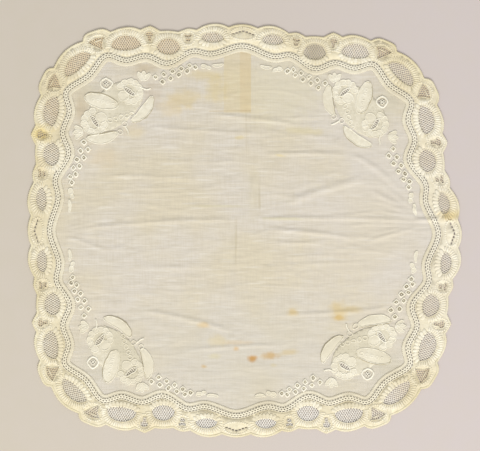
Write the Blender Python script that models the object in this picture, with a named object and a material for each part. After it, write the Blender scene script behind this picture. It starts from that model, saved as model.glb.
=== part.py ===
"""Lace handkerchief lying open on a flat surface, seen from above. Metres, +Z up.

Three pieces are sewn edge to edge: a sheer linen panel with a rolled hem and raised corner
sprays, a narrow pierced footing band that waves round it, and a lace edging with net-filled
ovals, small gaps between them and a scalloped rim. The origin is under the middle of the
whole cloth, at the height of the surface that it lies on.
"""

import math

import bmesh
import bpy
from mathutils import Vector
from mathutils.geometry import delaunay_2d_cdt

# Thickness of the pieces, and heights of the relief above or below their upper face
CLOTH_THICK = 0.0010
NET_DROP = 0.0005
RING_RISE = 0.0004
HEM_RISE = 0.0003
SPRAY_RISE = 0.0005
BAND_RIM_RISE = 0.0003

# Widths across the pieces
SEAM_GAP = 0.0003
BAND_WIDTH = 0.0054
BAND_RIM = 0.0009
HEM_WIDTH = 0.0028
RING_CREST = 0.0009
RING_WIDTH = 0.0022
NET_SLOPE = 0.0005
SPRAY_SLOPE = 0.0007

# Points along the outlines
POINTS_PER_WAVE_STATION = 4
POINTS_PER_SCALLOP = 6
POINTS_PER_OVAL = 18
POINTS_PER_LEAF_SIDE = 5
FLOWER_LOBES = 8
STEPS_PER_CREASE = 7

# Shares that keep a shape whole: how far a flower's notches reach out, and the least that
# is left of a narrow leaf or gap when its outline is drawn in
NOTCH_REACH = 0.88
LEAST_LEAF = 0.3
LEAST_GAP = 0.45

# Points closer than this are one, and edges sharper than this are shaded sharp
MERGE_DISTANCE = 1e-6
SHARP_ANGLE = math.radians(40)

# Middle line of the footing band over one eighth of the round, from the middle of a side
# to the corner: distance along the side, and distance out from the cloth's middle.
BAND_EIGHTH = (
    # along, out
    (0.0000, 0.1658),
    (0.0263, 0.1575),
    (0.0438, 0.1588),
    (0.0639, 0.1470),
    (0.0823, 0.1523),
    (0.0998, 0.1470),
    (0.1173, 0.1498),
    (0.1315, 0.1315),
)

# Outer rim over the same eighth: the crowns of the scallops and the notches between them,
# in turn, starting and ending with a crown.
RIM_EIGHTH = (
    # along, out
    (0.0000, 0.1852),
    (0.0127, 0.1822),
    (0.0263, 0.1846),
    (0.0405, 0.1784),
    (0.0477, 0.1792),
    (0.0556, 0.1757),
    (0.0639, 0.1763),
    (0.0714, 0.1756),
    (0.0801, 0.1797),
    (0.0886, 0.1757),
    (0.1002, 0.1771),
    (0.1138, 0.1718),
    (0.1286, 0.1714),
    (0.1374, 0.1614),
    (0.1523, 0.1523),
)

# Net-filled ovals: where the widest line is, how it tilts towards the corner, half its
# length, and how far the oval reaches out and in from it.
OVALS = (
    # along, out, tilt_deg, half_length, reach_out, reach_in
    (0.0263, 0.1708, 2.0, 0.0092, 0.0057, 0.0035),
    (0.0639, 0.1606, 3.0, 0.0098, 0.0079, 0.0060),
    (0.1000, 0.1598, 8.0, 0.0124, 0.0086, 0.0040),
    (0.1400, 0.1400, 45.0, 0.0136, 0.0080, 0.0030),
)

# Gaps between the ovals: place, tilt, and the corners of each, across and out from there.
GAPS = (
    # along, out, tilt_deg, corners
    (0.0000, 0.1778, 0.0, ((-0.0095, -0.0012), (0.0, -0.0022), (0.0095, -0.0012),
                           (0.0045, 0.0014), (0.0, 0.0030), (-0.0045, 0.0014))),
    (0.0474, 0.1712, 4.0, ((0.0, -0.0042), (0.0016, -0.0004), (0.0040, 0.0022),
                           (0.0, 0.0032), (-0.0040, 0.0022), (-0.0016, -0.0004))),
    (0.0805, 0.1705, 5.0, ((0.0, -0.0050), (0.0014, -0.0012), (0.0052, 0.0010),
                           (0.0018, 0.0022), (0.0, 0.0044), (-0.0018, 0.0022),
                           (-0.0052, 0.0010), (-0.0014, -0.0012))),
    (0.1245, 0.1605, 32.0, ((-0.0008, -0.0068), (0.0032, -0.0014), (0.0058, 0.0032),
                            (-0.0006, 0.0038), (-0.0066, 0.0012), (-0.0034, -0.0016))),
)

# How the round lies out of true: the shift of the cloth at sixteen bearings, every 22.5
# degrees anticlockwise from the middle of the right side, at LIE_RADIUS from the middle.
LIE_RADIUS = 0.185
LIE = (
    # shift_x, shift_y
    (0.0111, -0.0028),
    (0.0042, -0.0033),
    (0.0018, -0.0040),
    (0.0039, -0.0064),
    (0.0054, -0.0050),
    (0.0039, -0.0011),
    (0.0014, 0.0040),
    (-0.0007, 0.0030),
    (0.0019, -0.0002),
    (0.0002, -0.0005),
    (-0.0013, 0.0010),
    (-0.0007, 0.0027),
    (-0.0009, 0.0043),
    (-0.0022, 0.0021),
    (-0.0018, -0.0008),
    (0.0074, -0.0018),
)

# Creases that stand up off the surface: ends, bow to the left of the way from start to
# end, half the width, and height. The first six are the ironed folds that quarter the
# cloth, and the pinch runs on through the band and the edging to the rim.
CREASES = (
    # name, start, end, bow, half_width, height
    ("fold_up_top", (0.0118, 0.1500), (0.0125, 0.1000), 0.0010, 0.0022, 0.0007),
    ("fold_up_mid", (0.0122, 0.1010), (0.0166, 0.0510), 0.0020, 0.0024, 0.0009),
    ("fold_up_low", (0.0170, 0.0520), (0.0110, 0.0150), -0.0015, 0.0026, 0.0010),
    ("fold_down", (-0.0013, 0.0120), (-0.0066, -0.1250), 0.0015, 0.0024, 0.0008),
    ("fold_left", (-0.1480, 0.0000), (0.0090, 0.0090), 0.0030, 0.0028, 0.0010),
    ("fold_right", (0.0110, 0.0100), (0.1640, 0.0074), 0.0020, 0.0028, 0.0010),
    ("pinch", (0.1500, 0.0086), (0.2200, 0.0112), 0.0000, 0.0034, 0.0020),
    ("side_fold", (-0.0109, 0.1480), (-0.0109, 0.1000), 0.0000, 0.0018, 0.0005),
    ("upper_a", (-0.0220, 0.1010), (0.0547, 0.0922), 0.0010, 0.0028, 0.0011),
    ("upper_b", (-0.0766, 0.0905), (0.0346, 0.0844), -0.0010, 0.0026, 0.0008),
    ("upper_c", (0.0197, 0.0660), (0.1010, 0.0660), 0.0015, 0.0030, 0.0011),
    ("upper_d", (0.0990, 0.0665), (0.1360, 0.0410), 0.0025, 0.0034, 0.0013),
    ("slant_a", (0.0398, 0.0222), (0.1133, 0.0450), 0.0020, 0.0050, 0.0012),
    ("slant_b", (0.1180, 0.0352), (0.1400, 0.0235), -0.0010, 0.0030, 0.0012),
    ("low_a", (0.0223, 0.0012), (0.1098, -0.0084), 0.0015, 0.0030, 0.0012),
    ("low_b", (0.1120, -0.0110), (0.1600, 0.0030), 0.0010, 0.0028, 0.0010),
    ("low_c", (0.0346, -0.0740), (0.1330, -0.0670), -0.0015, 0.0028, 0.0009),
    ("low_d", (-0.0853, -0.0697), (0.0022, -0.0907), 0.0020, 0.0030, 0.0011),
    ("low_e", (-0.0442, -0.1047), (0.0433, -0.1003), 0.0010, 0.0026, 0.0008),
    ("left_a", (-0.1500, -0.0060), (-0.1150, -0.0180), 0.0010, 0.0026, 0.0009),
    ("left_b", (-0.1180, 0.0480), (-0.0300, 0.0440), 0.0010, 0.0030, 0.0007),
)
CREASE_FADE = 0.18

# One corner spray, in the upper left corner, in places on the true round. The other three
# are the same spray, turned by quarters.
FLOWERS = (
    # x, y, bearing_deg of the open slit, reach_along, reach_across
    (-0.0950, 0.1180, -27.0, 0.0108, 0.0092),
    (-0.1255, 0.0915, -56.0, 0.0100, 0.0088),
    (-0.1074, 0.0935, 80.0, 0.0052, 0.0046),
)
LEAVES = (
    # root_x, root_y, tip_x, tip_y, half_width, bow
    (-0.0786, 0.1135, -0.0956, 0.0893, 0.0041, 0.0016),
    (-0.1325, 0.0812, -0.1094, 0.0848, 0.0036, -0.0043),
    (-0.1330, 0.1120, -0.1040, 0.1010, 0.0056, 0.0006),
    (-0.0840, 0.1265, -0.0834, 0.1345, 0.0023, 0.0000),
    (-0.1352, 0.0842, -0.1440, 0.0850, 0.0023, 0.0000),
    (-0.0355, 0.1440, -0.0310, 0.1444, 0.0019, 0.0000),
    (-0.0289, 0.1456, -0.0194, 0.1461, 0.0016, 0.0006),
    (-0.1466, 0.0345, -0.1464, 0.0300, 0.0019, 0.0000),
    (-0.1469, 0.0257, -0.1473, 0.0157, 0.0016, -0.0006),
)
LOZENGE = (-0.1161, 0.1233, -20.0, 0.0060)

# Colour (linear) and roughness of each piece, none of them metallic
FINISHES = {
    "linen_panel": ((0.70, 0.64, 0.52), 0.85),
    "footing_band": ((0.80, 0.74, 0.60), 0.80),
    "lace_edging": ((0.84, 0.78, 0.62), 0.80),
}


def turned(point, angle):
    """A point turned anticlockwise about the middle."""
    x, y = point
    cos, sin = math.cos(angle), math.sin(angle)
    return Vector((x * cos - y * sin, x * sin + y * cos))


def through(before, start, end, after, t):
    """A point at share t of the way from start to end, on a smooth curve through all four."""
    return 0.5 * (
        2.0 * start
        + (end - before) * t
        + (2.0 * before - 5.0 * start + 4.0 * end - after) * t * t
        + (3.0 * start - before - 3.0 * end + after) * t * t * t
    )


def smooth_round(stations, points_each):
    """A closed smooth curve through the stations."""
    count = len(stations)
    found = []
    for i, start in enumerate(stations):
        before, end, after = stations[i - 1], stations[(i + 1) % count], stations[(i + 2) % count]
        found += [through(before, start, end, after, n / points_each) for n in range(points_each)]
    return found


def lie(point):
    """Where a point of the true round lies on the surface."""
    x, y = point
    bearing = (math.atan2(y, x) / math.tau % 1.0) * len(LIE)
    nearest = int(bearing) % len(LIE)
    shifts = [Vector(LIE[(nearest + step) % len(LIE)]) for step in (-1, 0, 1, 2)]
    return Vector(point) + through(*shifts, bearing % 1.0) * math.hypot(x, y) / LIE_RADIUS


def whole_round(eighth):
    """The stations of one eighth, mirrored and turned to go all round, anticlockwise."""
    mirrored = [(-along, out) for along, out in reversed(eighth[1:-1])]
    side = mirrored + list(eighth)
    return [turned((out, along), quarter * math.pi / 2) for quarter in range(4) for along, out in side]


def band_line():
    """The middle line of the footing band, as it lies."""
    return smooth_round([lie(p) for p in whole_round(BAND_EIGHTH)], POINTS_PER_WAVE_STATION)


def beside(line, distance):
    """A closed line moved outwards, square to its own way."""
    count = len(line)
    moved = []
    for i, point in enumerate(line):
        way = (line[(i + 1) % count] - line[i - 1]).normalized()
        moved.append(point + Vector((way.y, -way.x)) * distance)
    return moved


def rim_line():
    """The scalloped rim: an arc over each crown, from notch to notch."""
    stations = whole_round(RIM_EIGHTH)
    first_crown = len(RIM_EIGHTH) - 2
    count = len(stations)
    points = []
    for crown in range(first_crown, first_crown + count, 2):
        before, top, after = (stations[(crown + step) % count] for step in (-1, 0, 1))
        control = 2.0 * top - 0.5 * (before + after)
        for n in range(POINTS_PER_SCALLOP):
            t = n / POINTS_PER_SCALLOP
            points.append(lie(before * (1 - t) ** 2 + control * 2 * t * (1 - t) + after * t * t))
    return points


def placed_all_round(along, out, tilt_deg, shape):
    """Copies of a shape, given across and out from a place on one eighth, for the whole round."""
    on_axis = along == 0.0 or math.isclose(along, out)
    sides = (1,) if on_axis else (1, -1)
    copies = []
    for quarter in range(4):
        for side in sides:
            place = Vector((out, along * side))
            tilt = math.radians(tilt_deg) * side
            arms = [turned((up, across * side), tilt) for across, up in shape]
            copy = [lie(turned(place + arm, quarter * math.pi / 2)) for arm in arms]
            copies.append(copy if side > 0 else copy[::-1])
    return copies


def oval(half_length, reach_out, reach_in, grown):
    """An oval, flatter on the inner side, grown by a margin all round."""
    points = []
    for n in range(POINTS_PER_OVAL):
        angle = math.tau * n / POINTS_PER_OVAL
        across, up = math.cos(angle), math.sin(angle)
        reach = reach_out if up > 0 else reach_in
        points.append((across * (half_length + grown), up * (reach + grown)))
    return points


def shrunk(corners, margin):
    """A gap's corners drawn in towards its middle by about the margin."""
    middle = sum((Vector(c) for c in corners), Vector((0.0, 0.0))) / len(corners)
    drawn = []
    for corner in corners:
        arm = Vector(corner) - middle
        drawn.append(tuple(middle + arm * max(LEAST_GAP, 1.0 - margin / arm.length)))
    return drawn


def flower(x, y, bearing_deg, reach_along, reach_across, drawn_in):
    """A round flower head of shallow lobes."""
    points = []
    for n in range(2 * FLOWER_LOBES):
        angle = math.pi * n / FLOWER_LOBES
        depth = 1.0 if n % 2 else NOTCH_REACH
        lobe = (
            (reach_along * depth - drawn_in) * math.cos(angle),
            (reach_across * depth - drawn_in) * math.sin(angle),
        )
        points.append(Vector((x, y)) + turned(lobe, math.radians(bearing_deg)))
    return points


def leaf(root_x, root_y, tip_x, tip_y, half_width, bow, drawn_in):
    """A pointed leaf about a bowed rib."""
    root, tip = Vector((root_x, root_y)), Vector((tip_x, tip_y))
    way = (tip - root).normalized()
    side = Vector((-way.y, way.x))
    half_inner = max(half_width - drawn_in, LEAST_LEAF * half_width)
    root, tip = root + way * drawn_in, tip - way * drawn_in
    left, right = [], []
    for n in range(1, POINTS_PER_LEAF_SIDE):
        share = n / POINTS_PER_LEAF_SIDE
        swell = math.sin(math.pi * share)
        rib = root.lerp(tip, share) + side * bow * swell
        left.append(rib + side * half_inner * swell)
        right.append(rib - side * half_inner * swell)
    return [root, *right, tip, *reversed(left)]


def lozenge(x, y, bearing_deg, reach, drawn_in):
    """The small open lozenge by the corner."""
    corners = [math.radians(bearing_deg + 90 * n) for n in range(4)]
    return [Vector((x, y)) + turned((reach - drawn_in, 0), angle) for angle in corners]


def sprays(drawn_in):
    """Outlines of all the raised motifs of the four corner sprays."""
    one = [flower(*row, drawn_in) for row in FLOWERS]
    one += [leaf(*row, drawn_in) for row in LEAVES]
    one.append(lozenge(*LOZENGE, drawn_in))
    quarters = [quarter * math.pi / 2 for quarter in range(4)]
    return [[lie(turned(p, quarter)) for p in outline] for quarter in quarters for outline in one]


def crease_point(start, end, bow, share, aside):
    """A point on a bowed crease, at a share of its length and a distance to its left."""
    start, end = Vector(start), Vector(end)
    way = (end - start).normalized()
    side = Vector((-way.y, way.x))
    return start.lerp(end, share) + side * (bow * 4.0 * share * (1.0 - share) + aside)


def lift(point):
    """How far the cloth stands off the surface at a point."""
    height = 0.0
    for name, start, end, bow, half_width, crest in CREASES:
        way = Vector(end) - Vector(start)
        share = (point - Vector(start)).dot(way) / way.length_squared
        if not 0.0 < share < 1.0:
            continue
        off = (point - crease_point(start, end, bow, share, 0.0)).length
        if off < half_width:
            to_end = 1.0 if name == "pinch" else (1.0 - share) / CREASE_FADE
            fade = min(1.0, share / CREASE_FADE, to_end)
            height = max(height, crest * fade * math.cos(0.5 * math.pi * off / half_width) ** 2)
    return height


def crease_lines(names=None):
    """The crest of each crease and the two lines where it meets the flat cloth."""
    lines = []
    for name, start, end, bow, half_width, _ in CREASES:
        if names and name not in names:
            continue
        for aside in (-half_width, 0.0, half_width):
            shares = [n / STEPS_PER_CREASE for n in range(STEPS_PER_CREASE + 1)]
            lines.append([crease_point(start, end, bow, share, aside) for share in shares])
    return lines


def material_of(name):
    """The plain finish of a piece."""
    colour, roughness = FINISHES[name]
    material = bpy.data.materials.new(name)
    material.use_nodes = True
    shader = material.node_tree.nodes["Principled BSDF"]
    shader.inputs["Base Color"].default_value = (*colour, 1.0)
    shader.inputs["Roughness"].default_value = roughness
    shader.inputs["Metallic"].default_value = 0.0
    return material


def outline_edges(outlines, first, closed):
    """The edges along the outlines, whose points are numbered on from the first."""
    edges = []
    for outline in outlines:
        last = first + len(outline) - 1
        edges += [(n, n + 1) for n in range(first, last)]
        if closed:
            edges.append((last, first))
        first = last + 1
    return edges


def flat_mesh(rims, relief, lines):
    """Triangles between the rims, with every relief outline and crease line as edges.

    The first rim bounds the cloth, and a second one is the opening that the next piece in
    fills. Gives the points, the height of the relief at each, and the triangles.
    """
    rounds = rims + [outline for outline, _ in relief]
    heights = [0.0 for rim in rims for _ in rim]
    heights += [height for outline, height in relief for _ in outline]
    points = [point for outline in rounds + lines for point in outline]
    edges = outline_edges(rounds, 0, True) + outline_edges(lines, len(heights), False)
    outer = list(range(len(rims[0])))
    inner = [list(range(len(outer), len(outer) + len(rim))) for rim in rims[1:]]
    made = delaunay_2d_cdt(points, edges, [outer, *inner], 0, MERGE_DISTANCE, True)
    places, made_edges, triangles, point_sources, edge_sources, face_sources = made
    raised = [0.0] * len(places)
    # The edge numbered n of the outlines starts at their point n, and an edge made along it
    # has its height at both ends, also where a crease line crosses the outline
    for ends, sources in zip(made_edges, edge_sources):
        for source in sources:
            if source < len(heights):
                raised[ends[0]] = raised[ends[1]] = heights[source]
    kept = [triangle for triangle, faces in zip(triangles, face_sources) if 0 in faces and 1 not in faces]
    return places, raised, kept


def add_sheet(name, rims, relief, lines, middle):
    """One piece of cloth: its flat mesh thickened, lifted over the creases and raised in relief."""
    places, raised, triangles = flat_mesh(rims, relief, lines)
    sheet = bmesh.new()
    verts = {}
    for index in sorted({index for triangle in triangles for index in triangle}):
        verts[index] = sheet.verts.new((places[index].x, places[index].y, 0.0))
    for triangle in triangles:
        sheet.faces.new([verts[index] for index in triangle])
    made = bmesh.ops.extrude_face_region(sheet, geom=sheet.faces[:])
    upper = [item for item in made["geom"] if isinstance(item, bmesh.types.BMVert)]
    relief_at = {tuple(vert.co.xy): raised[index] for index, vert in verts.items()}
    for vert in upper:
        vert.co.z = CLOTH_THICK + relief_at[tuple(vert.co.xy)]
    for vert in sheet.verts:
        vert.co.z += lift(vert.co.xy)
    bmesh.ops.translate(sheet, verts=sheet.verts[:], vec=(-middle.x, -middle.y, 0.0))
    bmesh.ops.recalc_face_normals(sheet, faces=sheet.faces[:])
    mesh = bpy.data.meshes.new(name)
    sheet.to_mesh(mesh)
    sheet.free()
    mesh.shade_smooth()
    mesh.set_sharp_from_angle(angle=SHARP_ANGLE)
    mesh.materials.append(material_of(name))
    bpy.context.scene.collection.objects.link(bpy.data.objects.new(name, mesh))


def lace_relief():
    """The ring round each oval, and the lower net inside the ovals and the gaps."""
    relief = []
    for along, out, tilt_deg, half_length, reach_out, reach_in in OVALS:
        for grown, height in ((RING_WIDTH, 0.0), (RING_CREST, RING_RISE), (-NET_SLOPE, -NET_DROP)):
            shape = oval(half_length, reach_out, reach_in, grown)
            relief += [(copy, height) for copy in placed_all_round(along, out, tilt_deg, shape)]
    for along, out, tilt_deg, corners in GAPS:
        for shape, height in ((corners, 0.0), (shrunk(corners, NET_SLOPE), -NET_DROP)):
            relief += [(copy, height) for copy in placed_all_round(along, out, tilt_deg, shape)]
    return relief


def linen_relief(edge):
    """The hem along the edge, and the corner sprays."""
    relief = [(beside(edge, -HEM_WIDTH / 2), HEM_RISE), (beside(edge, -HEM_WIDTH), 0.0)]
    relief += [(outline, 0.0) for outline in sprays(0.0)]
    relief += [(outline, SPRAY_RISE) for outline in sprays(SPRAY_SLOPE)]
    return relief


def middle_of(rim):
    """The middle of the cloth's outer box."""
    reach_x = [point.x for point in rim]
    reach_y = [point.y for point in rim]
    return Vector(((min(reach_x) + max(reach_x)) / 2, (min(reach_y) + max(reach_y)) / 2))


def main():
    """Clears the scene and makes the three pieces."""
    for old in list(bpy.data.objects):
        bpy.data.objects.remove(old)
    band = band_line()
    rim = rim_line()
    middle = middle_of(rim)
    band_outer, band_inner = beside(band, BAND_WIDTH / 2), beside(band, -BAND_WIDTH / 2)
    linen_edge = beside(band_inner, -SEAM_GAP)
    lace_edge = beside(band_outer, SEAM_GAP)
    band_rims = [beside(band_outer, -BAND_RIM), beside(band_inner, BAND_RIM)]
    band_relief = [(line, BAND_RIM_RISE) for line in band_rims]
    pinch = crease_lines(("pinch",))
    add_sheet("linen_panel", [linen_edge], linen_relief(linen_edge), crease_lines(), middle)
    add_sheet("footing_band", [band_outer, band_inner], band_relief, pinch, middle)
    add_sheet("lace_edging", [rim, lace_edge], lace_relief(), pinch, middle)


main()
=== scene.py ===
"""Lace handkerchief lying open on a pale floor, seen from straight above. Metres, +Z up.

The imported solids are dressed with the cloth's own detail: sheer woven linen with its
creases and stains, a stitched hem, four corner sprays with their trails of eyelets, a
pierced footing band, and a lace edging whose net-filled ovals have a cord round them, ribs
towards the scalloped rim and teeth towards the band.

Tables give places on the true round, with its middle at zero. `lie` moves a place to where
the cloth lies, and a finished piece is shifted so that its middle is the frame's.
"""

import math
import random

import bmesh
import bpy
from mathutils import Matrix, Vector, noise
from mathutils.kdtree import KDTree


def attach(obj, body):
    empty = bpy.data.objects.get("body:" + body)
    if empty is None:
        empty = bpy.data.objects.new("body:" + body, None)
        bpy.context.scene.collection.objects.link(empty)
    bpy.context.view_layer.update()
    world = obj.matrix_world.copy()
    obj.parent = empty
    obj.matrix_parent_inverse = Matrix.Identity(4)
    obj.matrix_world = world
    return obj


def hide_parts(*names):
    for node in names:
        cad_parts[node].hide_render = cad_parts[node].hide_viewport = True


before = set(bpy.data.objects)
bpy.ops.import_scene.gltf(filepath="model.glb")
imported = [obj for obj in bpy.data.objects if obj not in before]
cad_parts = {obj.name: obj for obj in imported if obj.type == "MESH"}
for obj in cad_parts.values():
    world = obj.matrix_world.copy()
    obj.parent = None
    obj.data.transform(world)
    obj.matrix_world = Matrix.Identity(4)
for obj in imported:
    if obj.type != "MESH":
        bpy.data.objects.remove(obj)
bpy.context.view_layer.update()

# Sizes that the solids share
SEAM_GAP = 0.0003
BAND_WIDTH = 0.0054
HEM_WIDTH = 0.0028
POINTS_PER_WAVE_STATION = 12
POINTS_PER_SCALLOP = 12
POINTS_PER_OVAL = 32
MERGE_DISTANCE = 1e-6

# Middle line of the footing band over one eighth of the round, from the middle of a side
# to the corner: distance along the side, and distance out from the cloth's middle.
BAND_EIGHTH = (
    # along, out
    (0.0000, 0.1658),
    (0.0263, 0.1575),
    (0.0438, 0.1588),
    (0.0639, 0.1470),
    (0.0823, 0.1523),
    (0.0998, 0.1470),
    (0.1173, 0.1498),
    (0.1315, 0.1315),
)

# Outer rim over the same eighth: the crowns of the scallops and the notches between them,
# in turn, starting and ending with a crown.
RIM_EIGHTH = (
    # along, out
    (0.0000, 0.1852),
    (0.0127, 0.1822),
    (0.0263, 0.1846),
    (0.0405, 0.1784),
    (0.0477, 0.1792),
    (0.0556, 0.1757),
    (0.0639, 0.1763),
    (0.0714, 0.1756),
    (0.0801, 0.1797),
    (0.0886, 0.1757),
    (0.1002, 0.1771),
    (0.1138, 0.1718),
    (0.1286, 0.1714),
    (0.1374, 0.1614),
    (0.1523, 0.1523),
)

# How full the arc over a crown is, by the crown's row above: a round arc is 2, less comes
# to a point and more is flat with two corners. Crowns that aren't named here are round.
CROWN_FULLNESS = {4: 1.5, 8: 1.2, 12: 4.0}

# Net-filled ovals: place and tilt of the widest line, half its length, how far the oval
# reaches out and in from it, and the bearings between which ribs stand round its outer side.
OVALS = (
    # along, out, tilt_deg, half_length, reach_out, reach_in, ribs_from_deg, ribs_to_deg
    (0.0263, 0.1708, 2.0, 0.0096, 0.0062, 0.0038, -8.0, 188.0),
    (0.0639, 0.1606, 3.0, 0.0100, 0.0086, 0.0064, 2.0, 196.0),
    (0.1000, 0.1598, 8.0, 0.0128, 0.0097, 0.0044, -6.0, 184.0),
    (0.1400, 0.1400, 45.0, 0.0143, 0.0090, 0.0036, -6.0, 186.0),
)

# Net-filled gaps between the ovals: place, tilt, and the corners of each, across and out.
NET_GAPS = (
    # along, out, tilt_deg, corners
    (0.0474, 0.1712, 4.0, ((-0.0016, -0.0040), (0.0016, -0.0040), (0.0024, -0.0018), (0.0012, -0.0002),
                           (0.0034, 0.0010), (0.0030, 0.0032), (0.0000, 0.0024), (-0.0030, 0.0032),
                           (-0.0034, 0.0010), (-0.0012, -0.0002), (-0.0024, -0.0018))),
    (0.0805, 0.1705, 5.0, ((-0.0013, -0.0050), (0.0013, -0.0050), (0.0017, -0.0024), (0.0016, -0.0008),
                           (0.0034, 0.0004), (0.0034, 0.0026), (0.0014, 0.0040), (-0.0014, 0.0040),
                           (-0.0034, 0.0026), (-0.0034, 0.0004), (-0.0016, -0.0008), (-0.0017, -0.0024))),
    (0.1250, 0.1610, 32.0, ((-0.0010, -0.0080), (0.0038, -0.0018), (0.0070, 0.0036),
                            (-0.0008, 0.0046), (-0.0080, 0.0014), (-0.0042, -0.0020))),
)

# Ribs round the gaps and the arch at the middle of a side: place, tilt, and size of the oval
GAP_RIBS = (
    # along, out, tilt_deg, half_length, reach_out, reach_in
    (0.0474, 0.1712, 4.0, 0.0036, 0.0034, 0.0044),
    (0.0805, 0.1705, 5.0, 0.0036, 0.0042, 0.0052),
    (0.1250, 0.1610, 32.0, 0.0066, 0.0044, 0.0062),
    (0.0000, 0.1758, 0.0, 0.0090, 0.0042, 0.0020),
)

# Open gaps, which have no net: the arch of small holes over the middle of each side
OPEN_GAPS = (
    # along, out, tilt_deg, corners
    (0.0000, 0.1792, 0.0, ((-0.0012, -0.0008), (0.0012, -0.0008), (0.0011, 0.0005), (-0.0011, 0.0005))),
    (0.0030, 0.1786, 0.0, ((-0.0011, -0.0008), (0.0011, -0.0010), (0.0011, 0.0004), (-0.0010, 0.0006))),
    (0.0058, 0.1774, 0.0, ((-0.0011, -0.0006), (0.0011, -0.0009), (0.0011, 0.0004), (-0.0010, 0.0007))),
    (0.0086, 0.1764, 0.0, ((-0.0011, -0.0005), (0.0014, -0.0006), (0.0010, 0.0004), (-0.0010, 0.0006))),
)

# Bars of thread that cross the gaps' nets: place, tilt, and both ends, across and out
GAP_BARS = (
    # along, out, tilt_deg, start, end
    (0.1250, 0.1610, 32.0, ((-0.0056, 0.0006), (0.0024, 0.0016))),
    (0.0474, 0.1712, 4.0, ((-0.0022, -0.0006), (0.0022, -0.0006))),
)

# How the round lies out of true: the shift of the cloth at sixteen bearings, every 22.5
# degrees anticlockwise from the middle of the right side, at LIE_RADIUS from the middle.
LIE_RADIUS = 0.185
LIE = (
    # shift_x, shift_y
    (0.0111, -0.0028),
    (0.0042, -0.0033),
    (0.0018, -0.0040),
    (0.0039, -0.0064),
    (0.0054, -0.0050),
    (0.0039, -0.0011),
    (0.0014, 0.0040),
    (-0.0007, 0.0030),
    (0.0019, -0.0002),
    (0.0002, -0.0005),
    (-0.0013, 0.0010),
    (-0.0007, 0.0027),
    (-0.0009, 0.0043),
    (-0.0022, 0.0021),
    (-0.0018, -0.0008),
    (0.0074, -0.0018),
)

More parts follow.
